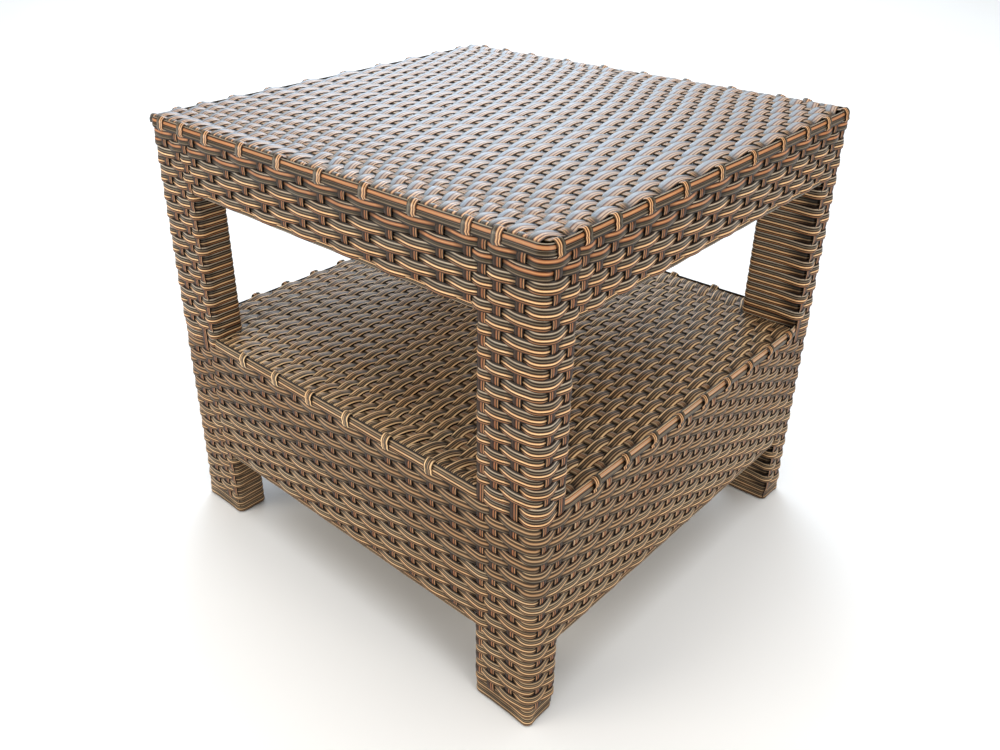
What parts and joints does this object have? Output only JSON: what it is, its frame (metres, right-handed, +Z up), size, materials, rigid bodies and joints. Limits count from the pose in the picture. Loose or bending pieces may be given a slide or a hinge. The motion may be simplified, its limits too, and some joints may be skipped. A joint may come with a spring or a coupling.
{
  "type": "wicker coffee table",
  "caption": "Nearly square two-tier woven coffee or side table: open bay between a top with an apron and a shelf on a closed-sided box, on short flat legs.",
  "frame": {"origin": "on the floor under the middle of the table", "axes": "+Z up, front towards -Y, right-hand side towards +X"},
  "size_m": [0.5, 0.475, 0.46],
  "materials": {
    "frame": "dark brown powder coat, satin",
    "glide": "moulded black plastic, matt",
    "weave": "ribbed striped resin wicker, semi-gloss",
    "border_strand": "ribbed striped resin wicker, semi-gloss"
  },
  "bodies": {
    "root": {"apron_rail_back": "frame", "apron_rail_front": "frame", "apron_rail_left": "frame", "apron_rail_right": "frame", "apron_weave_back": "weave", "apron_weave_front": "weave", "apron_weave_left": "weave", "apron_weave_right": "weave", "base_rail_back": "frame", "base_rail_front": "frame", "base_rail_left": "frame", "base_rail_right": "frame", "box_weave_back": "weave", "box_weave_front": "weave", "box_weave_left": "weave", "box_weave_right": "weave", "foot_glide_back_left": "glide", "foot_glide_back_right": "glide", "foot_glide_front_left": "glide", "foot_glide_front_right": "glide", "foot_weave_back_left": "weave", "foot_weave_back_right": "weave", "foot_weave_front_left": "weave", "foot_weave_front_right": "weave", "leg_profile_back_left": "frame", "leg_profile_back_right": "frame", "leg_profile_front_left": "frame", "leg_profile_front_right": "frame", "leg_weave_back_left": "weave", "leg_weave_back_right": "weave", "leg_weave_front_left": "weave", "leg_weave_front_right": "weave", "shelf_border_back": "border_strand", "shelf_border_front": "border_strand", "shelf_border_left": "border_strand", "shelf_border_right": "border_strand", "shelf_brace_back": "frame", "shelf_brace_front": "frame", "shelf_rail_back": "frame", "shelf_rail_front": "frame", "shelf_rail_left": "frame", "shelf_rail_right": "frame", "shelf_weave": "weave", "top_border_back": "border_strand", "top_border_front": "border_strand", "top_border_left": "border_strand", "top_border_right": "border_strand", "top_brace_back": "frame", "top_brace_front": "frame", "top_rail_back": "frame", "top_rail_front": "frame", "top_rail_left": "frame", "top_rail_right": "frame", "top_weave": "weave"}
  },
  "joints": []
}
